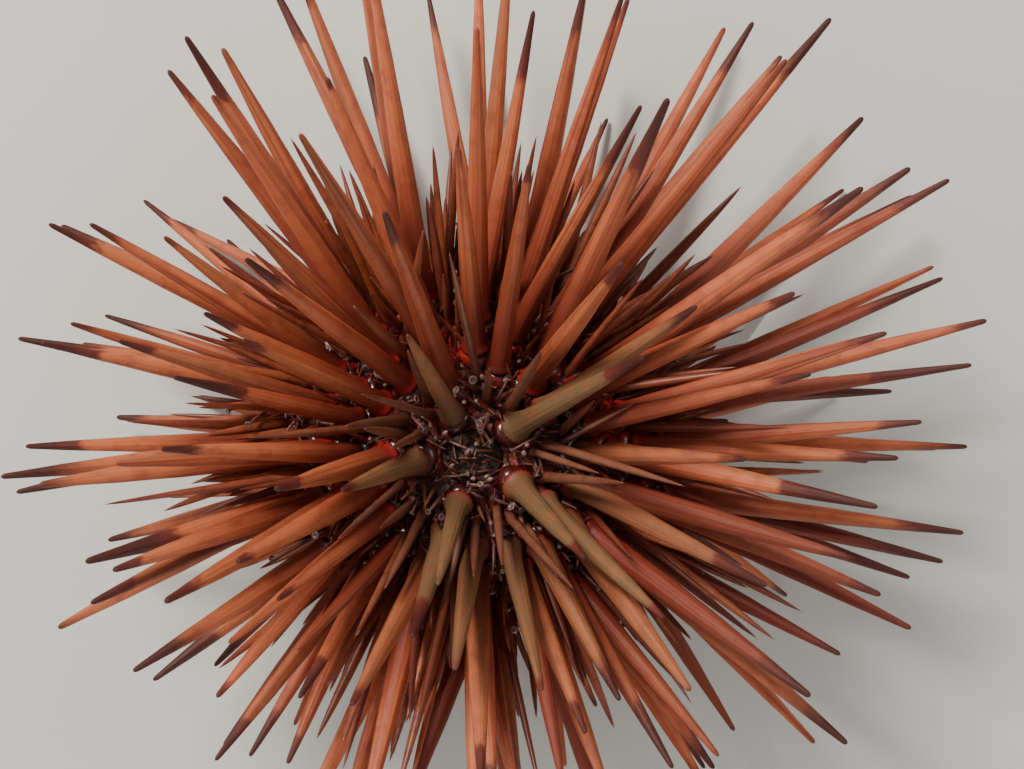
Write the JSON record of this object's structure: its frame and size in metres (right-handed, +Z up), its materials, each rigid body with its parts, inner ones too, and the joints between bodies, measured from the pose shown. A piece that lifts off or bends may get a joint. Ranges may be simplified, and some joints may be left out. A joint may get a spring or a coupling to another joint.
{
  "type": "reef urchin",
  "caption": "Life-size reef urchin as a still model: an oval shell set all over with stout tapering spines, standing on its lower spines, mouth and teeth below.",
  "frame": {"origin": "on the floor under the middle of the whole spread of spines", "axes": "+Z up through the vent, mouth down; +X along the oval shell's longer axis; -Y towards the side the camera stands on"},
  "size_m": [0.1042, 0.0996, 0.0527],
  "materials": {
    "spined_shell": "satin",
    "vent": "satin",
    "mouth": "moist"
  },
  "bodies": {
    "root": {"wide_zone_1": "spined_shell", "wide_zone_2": "spined_shell", "wide_zone_3": "spined_shell", "wide_zone_4": "spined_shell", "wide_zone_5": "spined_shell", "narrow_zone_1": "spined_shell", "narrow_zone_2": "spined_shell", "narrow_zone_3": "spined_shell", "narrow_zone_4": "spined_shell", "narrow_zone_5": "spined_shell", "vent_plates": "vent", "mouth": "mouth"}
  },
  "joints": []
}
